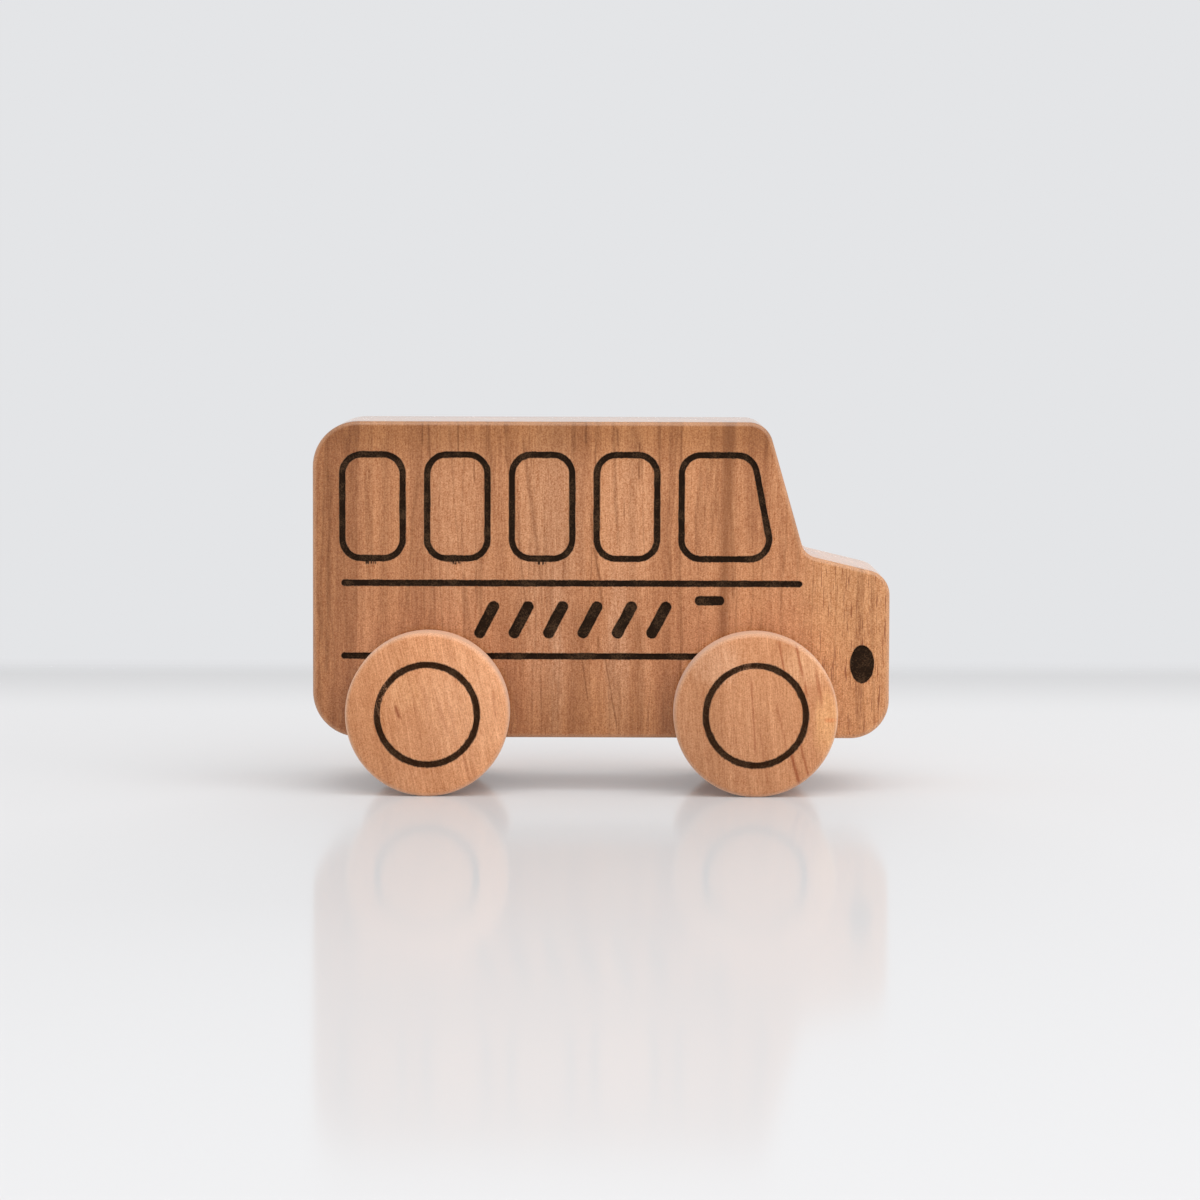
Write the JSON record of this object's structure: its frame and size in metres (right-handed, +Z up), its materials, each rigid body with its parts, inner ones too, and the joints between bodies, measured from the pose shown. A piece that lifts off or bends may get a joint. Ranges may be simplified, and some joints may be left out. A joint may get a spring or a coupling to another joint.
{
  "type": "wooden toy bus",
  "caption": "Wooden push-along toy bus: a solid block with rounded outline, bonnet and burnt-on windows, rolling on plain disc wheels glued to dowel axles.",
  "frame": {"origin": "on the floor under the middle of the toy", "axes": "+X towards the nose of the bus, +Y towards its left side, +Z up"},
  "size_m": [0.124, 0.06, 0.0796],
  "materials": {
    "body_wood": "sanded reddish hardwood with upright grain and burnt-on lines",
    "wheel_wood": "sanded lighter hardwood with a burnt-on ring",
    "axle_wood": "plain pale dowel"
  },
  "bodies": {
    "bus_body": {"body": "body_wood"},
    "rear_wheelset": {"rear_axle": "axle_wood", "rear_right_wheel": "wheel_wood", "rear_left_wheel": "wheel_wood"},
    "front_wheelset": {"front_axle": "axle_wood", "front_right_wheel": "wheel_wood", "front_left_wheel": "wheel_wood"}
  },
  "joints": [
    {"name": "rear_axle_turn", "type": "hinge", "parent": "bus_body", "child": "rear_wheelset", "pos_m": [-0.037, 0, 0.0175], "axis": [0, 1, 0], "continuous": true},
    {"name": "front_axle_turn", "type": "hinge", "parent": "bus_body", "child": "front_wheelset", "pos_m": [0.033, 0, 0.0175], "axis": [0, 1, 0], "continuous": true}
  ]
}
